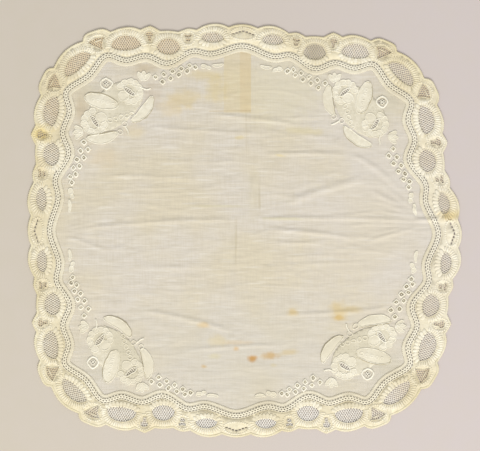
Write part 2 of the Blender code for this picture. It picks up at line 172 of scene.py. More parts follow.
# Creases that stand up off the surface, placed as the cloth lies: ends, bow to the left of
# the way from start to end, half the width, and height. Those down to left_b are in the
# solids too, and the finer ones after them are only here.
CREASES = (
    # name, start, end, bow, half_width, height
    ("fold_up_top", (0.0118, 0.1500), (0.0125, 0.1000), 0.0010, 0.0022, 0.0007),
    ("fold_up_mid", (0.0122, 0.1010), (0.0166, 0.0510), 0.0020, 0.0024, 0.0009),
    ("fold_up_low", (0.0170, 0.0520), (0.0110, 0.0150), -0.0015, 0.0026, 0.0010),
    ("fold_down", (-0.0013, 0.0120), (-0.0066, -0.1250), 0.0015, 0.0024, 0.0008),
    ("fold_left", (-0.1480, 0.0000), (0.0090, 0.0090), 0.0030, 0.0028, 0.0010),
    ("fold_right", (0.0110, 0.0100), (0.1640, 0.0074), 0.0020, 0.0028, 0.0010),
    ("pinch", (0.1500, 0.0086), (0.2200, 0.0112), 0.0000, 0.0034, 0.0020),
    ("side_fold", (-0.0109, 0.1480), (-0.0109, 0.1000), 0.0000, 0.0018, 0.0005),
    ("upper_a", (-0.0220, 0.1010), (0.0547, 0.0922), 0.0010, 0.0028, 0.0011),
    ("upper_b", (-0.0766, 0.0905), (0.0346, 0.0844), -0.0010, 0.0026, 0.0008),
    ("upper_c", (0.0197, 0.0660), (0.1010, 0.0660), 0.0015, 0.0030, 0.0011),
    ("upper_d", (0.0990, 0.0665), (0.1360, 0.0410), 0.0025, 0.0034, 0.0013),
    ("slant_a", (0.0398, 0.0222), (0.1133, 0.0450), 0.0020, 0.0050, 0.0012),
    ("slant_b", (0.1180, 0.0352), (0.1400, 0.0235), -0.0010, 0.0030, 0.0012),
    ("low_a", (0.0223, 0.0012), (0.1098, -0.0084), 0.0015, 0.0030, 0.0012),
    ("low_b", (0.1120, -0.0110), (0.1600, 0.0030), 0.0010, 0.0028, 0.0010),
    ("low_c", (0.0346, -0.0740), (0.1330, -0.0670), -0.0015, 0.0028, 0.0009),
    ("low_d", (-0.0853, -0.0697), (0.0022, -0.0907), 0.0020, 0.0030, 0.0011),
    ("low_e", (-0.0442, -0.1047), (0.0433, -0.1003), 0.0010, 0.0026, 0.0008),
    ("left_a", (-0.1500, -0.0060), (-0.1150, -0.0180), 0.0010, 0.0026, 0.0009),
    ("left_b", (-0.1180, 0.0480), (-0.0300, 0.0440), 0.0010, 0.0030, 0.0007),
    ("rule_left", (-0.1002, 0.0249), (-0.0990, -0.0889), 0.0015, 0.0018, 0.0003),
    ("fan_left_a", (-0.1500, 0.0010), (-0.1220, 0.0070), 0.0010, 0.0022, 0.0005),
    ("fan_left_b", (-0.1490, -0.0040), (-0.0941, -0.0095), 0.0015, 0.0022, 0.0004),
    ("fan_right_a", (0.1590, 0.0100), (0.1240, 0.0250), -0.0010, 0.0022, 0.0006),
    ("fan_right_b", (0.1600, 0.0060), (0.1120, -0.0020), 0.0010, 0.0022, 0.0005),
    ("fan_right_c", (0.1560, 0.0130), (0.1130, 0.0150), 0.0015, 0.0020, 0.0004),
    ("mid_a", (-0.0900, 0.0310), (-0.0150, 0.0330), 0.0010, 0.0020, 0.0003),
    ("mid_b", (0.0300, -0.0290), (0.1200, -0.0270), -0.0012, 0.0022, 0.0004),
    ("mid_c", (-0.1200, -0.0350), (-0.0300, -0.0330), 0.0014, 0.0022, 0.0003),
    ("mid_d", (0.0200, -0.0480), (0.0950, -0.0520), 0.0010, 0.0020, 0.0003),
    ("mid_e", (-0.0900, -0.0510), (-0.0100, -0.0540), -0.0010, 0.0020, 0.0003),
    ("mid_f", (-0.0850, 0.0620), (0.0050, 0.0600), -0.0010, 0.0020, 0.0003),
    ("mid_g", (0.0500, 0.0830), (0.0900, 0.0800), 0.0010, 0.0020, 0.0003),
    ("fine_a", (0.0023, 0.0955), (0.0821, 0.0989), 0.0008, 0.0017, 0.0006),
    ("fine_b", (0.0178, 0.0801), (0.0641, 0.0847), -0.0010, 0.0016, 0.0005),
    ("fine_c", (0.0255, 0.0662), (0.1053, 0.0626), 0.0020, 0.0018, 0.0007),
    ("fine_d", (0.1040, 0.0631), (0.1413, 0.0358), 0.0030, 0.0018, 0.0008),
    ("fine_e", (0.0409, 0.0224), (0.1156, 0.0500), 0.0014, 0.0018, 0.0006),
    ("fine_f", (0.1130, 0.0513), (0.1748, 0.0049), -0.0010, 0.0018, 0.0008),
    ("fine_g", (0.0332, 0.0096), (0.1259, 0.0173), -0.0016, 0.0017, 0.0007),
    ("fine_h", (0.1233, 0.0173), (0.1696, 0.0080), 0.0006, 0.0017, 0.0007),
    ("fine_i", (0.0641, -0.0023), (0.1233, -0.0059), -0.0012, 0.0017, 0.0007),
    ("fine_j", (0.0281, -0.0110), (0.0795, -0.0120), 0.0008, 0.0016, 0.0005),
    ("fine_k", (0.0924, 0.0049), (0.1722, 0.0034), 0.0010, 0.0016, 0.0006),
    ("fine_l", (0.0795, -0.0156), (0.1465, -0.0228), 0.0012, 0.0016, 0.0004),
    ("fine_m", (0.0178, -0.0311), (0.0873, -0.0285), -0.0010, 0.0016, 0.0004),
    ("fine_n", (0.0538, 0.0410), (0.1362, 0.0384), 0.0012, 0.0016, 0.0004),
    ("fine_o", (0.0101, -0.0053), (0.0538, 0.0049), 0.0010, 0.0016, 0.0005),
    ("fine_p", (0.1104, 0.0281), (0.1670, 0.0152), -0.0010, 0.0016, 0.0005),
)
CREASE_FADE = 0.18
CREASE_SHARE = 0.62

# Standing wrinkles all over the linen: height, length along the weft, length across it
RIPPLES = (
    # height, reach_x, reach_y, seed
    (0.00030, 0.050, 0.0070, 3.0),
    (0.00014, 0.018, 0.0030, 5.0),
    (0.00014, 0.010, 0.0300, 7.0),
)

# Thin wrinkles that wander over the linen: height, and reach along and across the weft
WANDERING = (
    # height, reach_x, reach_y, seed
    (0.00034, 0.048, 0.0120, 13.0),
    (0.00024, 0.026, 0.0080, 17.0),
    (0.00016, 0.014, 0.0200, 29.0),
)
WANDERING_WIDTH = 0.13

# Heights of the middles of the pieces above the cloth's underside, and their thickness
LINEN_HEIGHT, LINEN_THICK = 0.00016, 0.00024
HEM_HEIGHT, HEM_HALF_THICK = 0.00042, 0.00024
BAND_HEIGHT, BAND_THICK = 0.00050, 0.00050
GROUND_HEIGHT, GROUND_THICK = 0.00035, 0.00045
NET_HEIGHT, NET_THREAD = 0.00036, 0.00050
CORD_HEIGHT, RIB_HEIGHT, TAPE_HEIGHT = 0.00065, 0.00060, 0.00050
PETAL_HEIGHT, PETAL_HALF_THICK = 0.00040, 0.00030
FIELD_HEIGHT, FIELD_THICK = 0.00034, 0.00022

# Sizes of the stitched detail
CLOTH_CELL_X, CLOTH_CELL_Y = 0.0022, 0.0012
GROUND_CELL = 0.0070
HOLE_CLEARANCE = 0.0016
BAND_HOLE_PITCH, COLUMNS_PER_HOLE = 0.00265, 4
BAND_ROWS = (-0.00275, -0.00220, -0.00155, -0.00030, 0.00030, 0.00155, 0.00220, 0.00275)
OPEN_COLUMNS = {1: (1, 2, 3), 3: (0, 3), 5: (1, 2, 3)}
NET_PITCH = 0.00178
GAP_NET_PITCH = 0.00172
NET_SLANT_DEG = 58.0
RIB_PITCH, TOOTH_PITCH = 0.00195, 0.0031
RIB_REACH, GAP_RIB_REACH, TOOTH_REACH = (-0.0002, 0.0060), (0.0013, 0.0034), (-0.0014, 0.0046)
TEETH_SPAN_DEG, WHOLE_SPAN_DEG = (196.0, 344.0), (0.0, 360.0)
TAPE_HALF_WIDTH, TAPE_INSET, TAPE_HALF_THICK = 0.00095, 0.0010, 0.00034
PICOT_PITCH, PICOT_INSET = 0.0017, 0.0003
RIM_INSET, BAND_OVERLAP, NET_OVERLAP = 0.0004, 0.0002, 0.0002
HEM_STITCH_PITCH, HEM_STITCH_HALF_WIDTH = 0.00150, 0.00095
EYELET_REACH, EYELET_HOLE = 0.0023, 0.0012
FIELD_CELL, SEEDS_EACH = 0.0024, 150
CORD_BUMPS = 0.22

# Beads and bars of thread: half the length where it is fixed, half the width, half the
# thickness, height of the middle, and sides
RIB = (0.00096, 0.00032, RIB_HEIGHT, 6)
GAP_RIB = (0.00096, 0.00030, RIB_HEIGHT, 6)
TOOTH = (0.00178, 0.00034, RIB_HEIGHT, 10)
GAP_BAR = (0.00042, 0.00035, CORD_HEIGHT, 8)
SLIT_BAR = (0.00044, 0.00022, 0.00040, 6)
PICOT = (0.00060, 0.00050, 0.00035, TAPE_HEIGHT, 6)
SEED = (0.00060, 0.00036, 0.00022, FIELD_HEIGHT + FIELD_THICK / 2, 6)
KNOT = (0.00066, 0.00066, 0.00030, 0.00030, 6)

# Cords: radius, height of the middle, and how flat they are where they aren't round
OVAL_CORD, OVAL_CORD_OUT = (0.00030, CORD_HEIGHT), 0.00018
PETAL_CORD = (0.00036, 0.00054)
SLIT_CORD = (0.00050, 0.00058)
LOZENGE_CORD = (0.00080, 0.00050, 0.6)
WINDOW_CORD = (0.00040, 0.00055)
WINDOW_BAR = (0.00045, 0.00045)
STEM_CORD = (0.00065, 0.00050, 0.8)
RING_CORD = (0.00072, 0.00042, 0.7)
# LEAF_LINE and EYELET_LINE size the dark cords of painted shade beside the leaves and inside the eyelets
LEAF_LINE = (0.00026, 0.00062)
EYELET_LINE = (0.00026, 0.00036)

# How far out the cutting planes go for each sheet
CLOTH_REACH, GROUND_REACH, FIELD_REACH = 0.19, 0.20, 0.16
QUARTERS = [quarter * math.pi / 2 for quarter in range(4)]
WOBBLE, WOBBLE_REACH = 0.0008, 0.0045

# One corner spray, in the upper left corner. Its main places are the real one's, read off the
# photograph and rounded to a millimetre, and what stands round them is worked out from a few
# sizes. The other three sprays are it, turned by quarters.
FLOWERS = (
    # x, y, slit_deg, heart_deg, petals_from_deg, petals_to_deg
    (-0.096, 0.119, -35.0, 220.0, -95.0, 150.0),
    (-0.125, 0.092, -55.0, 30.0, 105.0, 340.0),
)
FLOWER_PETALS, FLOWER_RING, PETAL_LENGTH, PETAL_WIDTH = 9, 0.0090, 0.0030, 0.0027
HEART_REACH, HEART_RADIUS = 0.0065, 0.0045
SLIT_LENGTH, SLIT_WIDTH, SLIT_BARS, SLIT_BARS_SHARE = 0.0060, 0.0019, 6, 0.9
BERRY_INSET = 0.0005
LEAVES = (
    # x, y, bearing_deg, half_length, half_width, bow
    (-0.085, 0.104, 235.0, 0.015, 0.004, 0.003),
    (-0.118, 0.080, 10.0, 0.014, 0.004, -0.003),
    (-0.120, 0.109, -15.0, 0.015, 0.006, 0.000),
)
FANS = (
    # x, y of the foot, bearing of the middle leaf in degrees
    (-0.085, 0.130, 85.0),
    (-0.135, 0.083, 185.0),
)
FAN_LEAVES, FAN_SPREAD_DEG, FAN_LENGTH, FAN_WIDTH = 3, 38.0, 0.0042, 0.0019
BERRY_ROWS = (
    # start_x, start_y, end_x, end_y, berries, radius
    (-0.112, 0.093, -0.093, 0.099, 5, 0.0023),
    (-0.099, 0.090, -0.103, 0.083, 2, 0.0028),
    (-0.127, 0.111, -0.110, 0.107, 5, 0.0018),
)
STEMS = (
    # x, y, start_deg, bend_deg, radius of the bend
    (-0.099, 0.088, -50.0, -30.0, 0.015),
    (-0.087, 0.124, -40.0, 70.0, 0.008),
)
STEM_POINTS = 9
LOZENGE_PLACE, LOZENGE_REACH, WINDOW_REACH = (-0.116, 0.125), 0.0050, 0.0024
FIELD_OVAL = (-0.108, 0.106, 43.0, 0.029, 0.0165, 0.0)
LEAF_LINE_OFF = 0.0008

# The trail of eyelets and buds along the top. The one down the side is its mirror image.
TRAIL_START, TRAIL_END = (-0.073, 0.131), (-0.041, 0.146)
TRAIL_EYELETS, TRAIL_ZIGZAG, TRAIL_TAPER = 10, 0.0030, 0.5
TRAIL_LEAVES = (
    # x, y, bearing_deg, half_length, half_width, bow
    (-0.033, 0.146, 5.0, 0.0026, 0.0021, 0.0000),
    (-0.029, 0.145, -20.0, 0.0022, 0.0015, 0.0000),
    (-0.021, 0.148, 6.0, 0.0050, 0.0012, -0.0008),
)

# Camera straight above, on the middle of the picture's view
CAMERA_HEIGHT = 1.2
VIEW_WIDTH = 0.42
VIEW_MIDDLE = (-0.0040, 0.0043)
SENSOR_WIDTH = 36.0

# The floor, and the light: a wide soft lamp on the near side and even light from all round
FLOOR_SIZE = 1.6
LAMP_PLACE, LAMP_SIZE, LAMP_WATTS = (0.47, -3.24, 2.30), (2.7, 1.75), 140.0
LAMP_COLOUR = (1.0, 0.985, 0.96)
EVEN_LIGHT = 0.62

# The wave texture's scale at which one wave is a metre long, and the pitch of the threads
WAVE_SCALE, THREAD_PITCH = 0.3142, 0.00045


def tone(red, green, blue):
    """A colour as the eye names it, 0 to 255, in the linear values that shaders take."""
    shares = [level / 255.0 for level in (red, green, blue)]
    linear = [s / 12.92 if s <= 0.04045 else ((s + 0.055) / 1.055) ** 2.4 for s in shares]
    return (*linear, 1.0)


# Stains and tints, and one painted highlight line along a crease, placed as the cloth lies in the frame:
# soft-edged unless hard is 1
LINEN_STAINS_AND_HIGHLIGHT = (
    # x, y, turn_deg, reach_x, reach_y, hard, strength, colour
    (0.1150, 0.0100, 0.0, 0.0900, 0.1500, 0, 0.35, tone(238, 231, 222)),
    (0.0015, 0.0957, 0.5, 0.0012, 0.0400, 0, 0.35, tone(218, 206, 178)),
    (0.0087, 0.0345, 0.0, 0.0070, 0.0280, 0, 0.35, tone(228, 218, 186)),
    (0.0130, 0.0288, 1.0, 0.0013, 0.0180, 0, 0.50, tone(214, 202, 172)),
    (-0.0075, -0.0103, -0.6, 0.0013, 0.0280, 0, 0.50, tone(214, 202, 172)),
    (-0.0240, 0.0213, 0.0, 0.0330, 0.0016, 0, 0.45, tone(224, 216, 180)),
    (0.0340, 0.0102, -1.0, 0.0280, 0.0018, 0, 0.50, tone(226, 219, 180)),
    (-0.0040, 0.0813, 0.0, 0.0060, 0.0024, 0, 0.50, tone(236, 218, 160)),
    (0.0310, 0.0655, -8.0, 0.0060, 0.0016, 0, 0.50, tone(234, 216, 160)),
    (0.0529, 0.0867, -3.0, 0.0260, 0.0044, 0, 0.45, tone(236, 223, 174)),
    # painted highlight: a thin near-white line along the upper creases, where their ridge catches the light
    (0.0144, 0.0944, -1.0, 0.0400, 0.0010, 0, 0.60, tone(252, 246, 230)),
    (0.0000, -0.1200, 0.0, 0.1700, 0.0800, 0, 0.40, tone(228, 222, 206)),
    (-0.1250, 0.1120, 45.0, 0.0200, 0.0300, 0, 0.35, tone(222, 216, 192)),
    (0.1230, 0.1120, -45.0, 0.0200, 0.0300, 0, 0.35, tone(222, 216, 192)),
    (-0.1250, -0.1150, -45.0, 0.0200, 0.0300, 0, 0.35, tone(222, 216, 192)),
    (0.1230, -0.1180, 45.0, 0.0200, 0.0300, 0, 0.35, tone(222, 216, 192)),
    (-0.0062, 0.1316, 0.0, 0.0119, 0.0285, 1, 0.40, tone(236, 218, 166)),
    (0.0340, 0.1260, 0.0, 0.0520, 0.0460, 0, 0.50, tone(238, 230, 200)),
    (0.0008, 0.1316, 0.0, 0.0048, 0.0285, 1, 0.26, tone(232, 204, 150)),
    (-0.0128, 0.1045, 1.0, 0.0184, 0.0006, 1, 0.30, tone(216, 192, 148)),
    (-0.0250, 0.1229, 0.0, 0.0120, 0.0170, 0, 0.55, tone(236, 218, 162)),
    (-0.0520, 0.1150, 8.0, 0.0190, 0.0120, 0, 0.55, tone(234, 215, 164)),
    (-0.0640, 0.1080, 0.0, 0.0150, 0.0120, 0, 0.40, tone(240, 220, 176)),
    (-0.0350, 0.1360, 0.0, 0.0200, 0.0070, 0, 0.50, tone(234, 216, 164)),
    (-0.0960, 0.0860, 0.0, 0.0120, 0.0080, 0, 0.40, tone(240, 222, 176)),
    (-0.1230, 0.0640, 0.0, 0.0180, 0.0120, 0, 0.30, tone(244, 222, 180)),
    (0.0826, -0.0706, 0.0, 0.0100, 0.0110, 0, 0.65, tone(234, 210, 150)),
    (0.0816, -0.0762, 0.0, 0.0058, 0.0036, 0, 0.70, tone(230, 198, 128)),
    (0.0950, -0.0694, 0.0, 0.0100, 0.0042, 0, 0.50, tone(232, 208, 146)),
    (0.0422, -0.0715, 0.0, 0.0068, 0.0045, 0, 0.60, tone(234, 206, 138)),
    (-0.0359, -0.0828, -4.0, 0.0068, 0.0036, 0, 0.55, tone(236, 206, 148)),
    (-0.0234, -0.0965, 0.0, 0.0110, 0.0080, 0, 0.38, tone(238, 220, 166)),
    (-0.0059, -0.0980, 0.0, 0.0190, 0.0026, 0, 0.28, tone(236, 206, 156)),
    (-0.0072, -0.1034, 0.0, 0.0036, 0.0026, 0, 0.65, tone(230, 192, 134)),
    (-0.0265, -0.1100, 0.0, 0.0070, 0.0032, 0, 0.32, tone(234, 222, 160)),
    (0.0066, -0.1117, 0.0, 0.0052, 0.0042, 0, 0.95, tone(218, 170, 102)),
    (0.0222, -0.1096, 4.0, 0.0092, 0.0045, 0, 0.72, tone(224, 186, 120)),
    (0.0391, -0.1068, 6.0, 0.0105, 0.0034, 0, 0.45, tone(234, 208, 144)),
    (0.0253, -0.1178, 0.0, 0.0040, 0.0026, 0, 0.30, tone(232, 214, 150)),
    (-0.0353, -0.1190, 0.0, 0.0036, 0.0024, 0, 0.65, tone(226, 190, 124)),
    (-0.1423, 0.1054, 0.0, 0.0080, 0.0180, 0, 0.30, tone(206, 182, 140)),
    (-0.0802, 0.1185, 0.0, 0.0100, 0.0150, 0, 0.26, tone(208, 184, 146)),
    (-0.0872, 0.1421, 0.0, 0.0130, 0.0060, 0, 0.32, tone(206, 182, 140)),
)
LACE_STAINS = (
    # x, y, turn_deg, reach_x, reach_y, hard, strength, colour
    (0.1795, 0.0130, 0.0, 0.0120, 0.0070, 0, 0.95, tone(216, 192, 116)),
    (0.1797, 0.0266, 0.0, 0.0130, 0.0130, 0, 0.35, tone(232, 216, 164)),
    (-0.1782, 0.0850, 0.0, 0.0150, 0.0100, 0, 0.75, tone(226, 206, 140)),
    (-0.1790, 0.0572, 0.0, 0.0090, 0.0090, 0, 0.32, tone(214, 196, 148)),
    (-0.1600, -0.1400, 0.0, 0.0450, 0.0450, 0, 0.25, tone(224, 210, 166)),
    (0.1500, 0.1450, 0.0, 0.0350, 0.0300, 0, 0.25, tone(224, 210, 166)),
    (0.1800, 0.0000, 0.0, 0.0600, 0.1600, 0, 0.30, tone(240, 234, 222)),
)
NET_STAINS = (
    # x, y, turn_deg, reach_x, reach_y, hard, strength, colour
    *LACE_STAINS,
    (-0.1100, 0.1400, 0.0, 0.1100, 0.0900, 0, 0.65, tone(246, 224, 180)),
    (0.0616, 0.1570, 0.0, 0.0150, 0.0130, 0, 0.80, tone(206, 196, 164)),
    (0.0000, -0.1700, 0.0, 0.2000, 0.0500, 0, 0.80, tone(255, 254, 248)),
)

# The finishes of worked thread
THREADS = {
    # name: light colour, dark colour, length of a stitch, stains
    "worked_thread": (tone(245, 239, 219), tone(224, 213, 182), 0.0008, LACE_STAINS),
    "yellowed_thread": (tone(236, 228, 200), tone(222, 210, 172), 0.0009, LACE_STAINS),
    "ground_thread": (tone(236, 228, 202), tone(222, 210, 177), 0.0006, LACE_STAINS),
    "net_thread": (tone(255, 250, 234), tone(248, 238, 212), 0.0004, NET_STAINS),
    "tan_thread": (tone(242, 228, 196), tone(230, 214, 178), 0.0005, NET_STAINS),
    "band_thread": (tone(246, 240, 220), tone(234, 225, 198), 0.0005, LACE_STAINS),
    "satin_stitch": (tone(248, 244, 229), tone(234, 227, 206), 0.0006, ()),
    "padding_stitch": (tone(238, 232, 213), tone(222, 214, 191), 0.0007, ()),
    "seed_stitch": (tone(230, 223, 203), tone(210, 202, 178), 0.0005, ()),
    "hem_cloth": (tone(235, 228, 206), tone(222, 212, 186), 0.0006, ()),
    # painted shade: a dark thread for the cords laid where crevices and holes lie in shade beside the leaves
    # and in the eyelets
    "painted_shade_thread": (tone(204, 194, 165), tone(182, 171, 140), 0.0005, ()),
}


def turned(point, angle):
    """A point turned anticlockwise about the middle."""
    x, y = point
    cos, sin = math.cos(angle), math.sin(angle)
    return Vector((x * cos - y * sin, x * sin + y * cos))


def through(before, start, end, after, t):
    """A point at share t of the way from start to end, on a smooth curve through all four."""
    return 0.5 * (
        2.0 * start
        + (end - before) * t
        + (2.0 * before - 5.0 * start + 4.0 * end - after) * t * t
        + (3.0 * start - before - 3.0 * end + after) * t * t * t
    )


def smooth_round(stations, points_each):
    """A closed smooth curve through the stations."""
    count = len(stations)
    found = []
    for i, start in enumerate(stations):
        before, end, after = stations[i - 1], stations[(i + 1) % count], stations[(i + 2) % count]
        found += [through(before, start, end, after, n / points_each) for n in range(points_each)]
    return found


def lie(point):
    """Where a point of the true round lies on the surface."""
    x, y = point
    bearing = (math.atan2(y, x) / math.tau % 1.0) * len(LIE)
    nearest = int(bearing) % len(LIE)
    shifts = [Vector(LIE[(nearest + step) % len(LIE)]) for step in (-1, 0, 1, 2)]
    return Vector(point) + through(*shifts, bearing % 1.0) * math.hypot(x, y) / LIE_RADIUS


def whole_round(eighth):
    """The stations of one eighth, mirrored and turned to go all round, anticlockwise."""
    mirrored = [(-along, out) for along, out in reversed(eighth[1:-1])]
    side = mirrored + list(eighth)
    return [turned((out, along), quarter) for quarter in QUARTERS for along, out in side]


def band_line():
    """The middle line of the footing band, as it lies."""
    return smooth_round([lie(p) for p in whole_round(BAND_EIGHTH)], POINTS_PER_WAVE_STATION)


def beside(line, distance):
    """A closed line moved outwards, square to its own way."""
    count = len(line)
    moved = []
    for i, point in enumerate(line):
        way = (line[(i + 1) % count] - line[i - 1]).normalized()
        moved.append(point + Vector((way.y, -way.x)) * distance)
    return moved


def rim_line():
    """The scalloped rim: an arc over each crown, from notch to notch."""
    stations = whole_round(RIM_EIGHTH)
    first_crown = len(RIM_EIGHTH) - 2
    count = len(stations)
    points = []
    for crown in range(first_crown, first_crown + count, 2):
        before, top, after = (stations[(crown + step) % count] for step in (-1, 0, 1))
        row = abs(crown % (2 * first_crown + 2) - first_crown)
        fullness = CROWN_FULLNESS.get(row, 2.0)
        for n in range(POINTS_PER_SCALLOP):
            t = n / POINTS_PER_SCALLOP
            share = 1.0 - abs(2.0 * t - 1.0) ** fullness
            points.append(lie(before.lerp(after, t) + (top - (before + after) / 2) * share))
    return points


def middle_of(rim):
    """The middle of the cloth's outer box."""
    reach_x = [point.x for point in rim]
    reach_y = [point.y for point in rim]
    return Vector(((min(reach_x) + max(reach_x)) / 2, (min(reach_y) + max(reach_y)) / 2))


RIM = rim_line()
BAND = band_line()
MIDDLE = middle_of(RIM)


def length_round(line):
    """The length of a closed line."""
    return sum((end - start).length for start, end in zip(line, line[1:] + line[:1]))


def spaced(line, pitch):
    """Points about a pitch apart along a closed line, each with the way of the line there."""
    ends = line[1:] + line[:1]
    reached = [0.0]
    for start, end in zip(line, ends):
        reached.append(reached[-1] + (end - start).length)
    count = round(reached[-1] / pitch)
    points = []
    leg = 0
    for n in range(count):
        target = reached[-1] * n / count
        while reached[leg + 1] < target:
            leg += 1
        share = (target - reached[leg]) / (reached[leg + 1] - reached[leg])
        points.append(line[leg].lerp(ends[leg], share))
    ways = [(points[(n + 1) % count] - points[n - 1]).normalized() for n in range(count)]
    return list(zip(points, ways))


def placed_all_round(along, out, tilt_deg, shape):
    """Copies of a shape, given across and out from a place on one eighth, for the whole round."""
    on_axis = along == 0.0 or math.isclose(along, out)
    sides = (1,) if on_axis else (1, -1)
    copies = []
    for quarter in QUARTERS:
        for side in sides:
            place = Vector((out, along * side))
            tilt = math.radians(tilt_deg) * side
            arms = [turned((up, across * side), tilt) for across, up in shape]
            copies.append([lie(turned(place + arm, quarter)) for arm in arms])
    return copies


def oval_edge(half_length, reach_out, reach_in, grown, angle):
    """A point on an oval's edge, grown by a margin, at a bearing from its middle."""
    across, up = math.cos(angle), math.sin(angle)
    reach = reach_out if up > 0 else reach_in
    return Vector((across * (half_length + grown), up * (reach + grown)))


def oval(half_length, reach_out, reach_in, grown):
    """An oval, flatter on the inner side, grown by a margin all round."""
    angles = [math.tau * n / POINTS_PER_OVAL for n in range(POINTS_PER_OVAL)]
    return [oval_edge(half_length, reach_out, reach_in, grown, angle) for angle in angles]


def spokes(shape, span_deg, reach, pitch):
    """Lines that stand off an oval's edge, a pitch apart, between two bearings."""
    inner, outer = reach
    middle = (inner + outer) / 2
    steps = 720
    angles = [math.radians(span_deg[0] + (span_deg[1] - span_deg[0]) * n / steps) for n in range(steps + 1)]
    edge = [oval_edge(*shape, middle, angle) for angle in angles]
    reached = [0.0]
    for start, end in zip(edge, edge[1:]):
        reached.append(reached[-1] + (end - start).length)
    count = round(reached[-1] / pitch)
    found = []
    for n in range(count):
        target = reached[-1] * (n + 0.5) / count
        angle = angles[min(range(steps + 1), key=lambda step: abs(reached[step] - target))]
        found.append((oval_edge(*shape, inner, angle), oval_edge(*shape, outer, angle)))
    return found


def crease_point(start, end, bow, share):
    """A point on a bowed crease, at a share of its length."""
    start, end = Vector(start), Vector(end)
    way = (end - start).normalized()
    return start.lerp(end, share) + Vector((-way.y, way.x)) * (bow * 4.0 * share * (1.0 - share))


def reaches(start, end, margin):
    """Lowest and highest x and y of what lies within a margin of the line from start to end."""
    low_x, high_x = sorted((start[0], end[0]))
    low_y, high_y = sorted((start[1], end[1]))
    return low_x - margin, high_x + margin, low_y - margin, high_y + margin


CREASE_REACHES = [reaches(start, end, abs(bow) + half_width) for _, start, end, bow, half_width, _ in CREASES]


def lift(point):
    """How far the creases hold the cloth off the surface at a point."""
    height = 0.0
    x, y = point
    for crease, (low_x, high_x, low_y, high_y) in zip(CREASES, CREASE_REACHES):
        if not (low_x < x < high_x and low_y < y < high_y):
            continue
        name, start, end, bow, half_width, crest = crease
        way = Vector(end) - Vector(start)
        share = (point - Vector(start)).dot(way) / way.length_squared
        if not 0.0 < share < 1.0:
            continue
        off = (point - crease_point(start, end, bow, share)).length
        if off < half_width:
            to_end = 1.0 if name == "pinch" else (1.0 - share) / CREASE_FADE
            fade = min(1.0, share / CREASE_FADE, to_end)
            height = max(height, crest * fade * math.cos(0.5 * math.pi * off / half_width) ** 2)
    return height


def ripple(point):
    """The height of the small standing wrinkles at a point, never below the surface."""
    height = 0.0
    for crest, reach_x, reach_y, seed in RIPPLES:
        wave = noise.noise(Vector((point.x / reach_x, point.y / reach_y, seed)))
        height += crest * (0.5 + 0.5 * wave)
    for crest, reach_x, reach_y, seed in WANDERING:
        spot = Vector((point.x / reach_x, point.y / reach_y, seed))
        fullness = 0.5 + 0.5 * noise.noise(spot * 0.4)
        height += crest * fullness * max(0.0, 1.0 - abs(noise.noise(spot)) / WANDERING_WIDTH)
    return height


def rise(point):
    """How far the cloth's underside is off the surface at a point."""
    return CREASE_SHARE * lift(point) + ripple(point)


def add_round(made, points):
    """The points joined by a closed line of edges; gives the new corners and edges."""
    corners = [made.verts.new((point[0], point[1], 0.0)) for point in points]
    edges = [made.edges.new(pair) for pair in zip(corners, corners[1:] + corners[:1])]
    return corners, edges


def cut_in_cells(made, centre, reach, spacing, turns=(0.0, math.pi / 2)):
    """Cuts a flat piece into cells by upright planes a spacing apart, facing two ways."""
    count = math.ceil(reach / spacing)
    for angle in turns:
        way = Vector((math.cos(angle), math.sin(angle), 0.0))
        for n in range(-count, count + 1):
            place = Vector((*centre, 0.0)) + way * n * spacing
            geom = made.verts[:] + made.edges[:] + made.faces[:]
            bmesh.ops.bisect_plane(made, geom=geom, plane_co=place, plane_no=way)


def around_pinched(sheet):
    """The faces at corners where two openings of a sheet meet at a point."""
    found = set()
    for vert in sheet.verts:
        if sum(edge.is_boundary for edge in vert.link_edges) > 2:
            found.update(vert.link_faces)
    return list(found)


def open_holes(sheet, holes):
    """Opens holes in a cut sheet: takes the cloth near them out and fills it in round them."""
    marks = [point for hole in holes for point in hole]
    marks += [(point + hole[-n]) / 2 for hole in holes for n, point in enumerate(hole)]
    tree = KDTree(len(marks))
    for n, point in enumerate(marks):
        tree.insert((point[0], point[1], 0.0), n)
    tree.balance()
    outer = {edge for edge in sheet.edges if edge.is_boundary}
    near = [face for face in sheet.faces if tree.find(face.calc_center_median())[2] < HOLE_CLEARANCE]
    while near:
        bmesh.ops.delete(sheet, geom=near, context="FACES")
        near = around_pinched(sheet)
    rims = [edge for edge in sheet.edges if edge.is_boundary and edge not in outer]
    for hole in holes:
        rims += add_round(sheet, hole)[1]
    bmesh.ops.triangle_fill(sheet, use_beauty=True, use_dissolve=False, edges=rims, normal=(0, 0, 1))


def mesh_from(made, name):
    """The finished mesh of what was made."""
    mesh = bpy.data.meshes.new(name)
    made.to_mesh(mesh)
    made.free()
    return mesh


def add_object(name, data):
    """A new object in the scene."""
    item = bpy.data.objects.new(name, data)
    bpy.context.scene.collection.objects.link(item)
    return item


def ball(sides, rings):
    """A ball of unit radius, as a mesh to be stretched and joined into a piece."""
    made = bmesh.new()
    bmesh.ops.create_uvsphere(made, u_segments=sides, v_segments=rings, radius=1.0)
    return mesh_from(made, "ball")


BALLS = {sides: ball(sides, rings) for sides, rings in ((6, 4), (8, 4), (10, 4), (20, 8))}


def add_bead(made, centre, way, half_length, half_width, half_height, height, sides=8):
    """A small rounded bar of thread that lies flat, centred on a point."""
    place = Matrix.Translation((centre[0], centre[1], height))
    turn = Matrix.Rotation(math.atan2(way[1], way[0]), 4, "Z")
    size = Matrix.Diagonal((half_length, half_width, half_height, 1.0))
    bead = BALLS[sides].copy()
    bead.transform(place @ turn @ size)
    made.from_mesh(bead)
    bpy.data.meshes.remove(bead)


def add_bar(made, start, end, half_width, half_height, height, sides=8):
    """A rounded bar of thread from start to end."""
    way = end - start
    add_bead(made, (start + end) / 2, way, way.length / 2, half_width, half_height, height, sides)


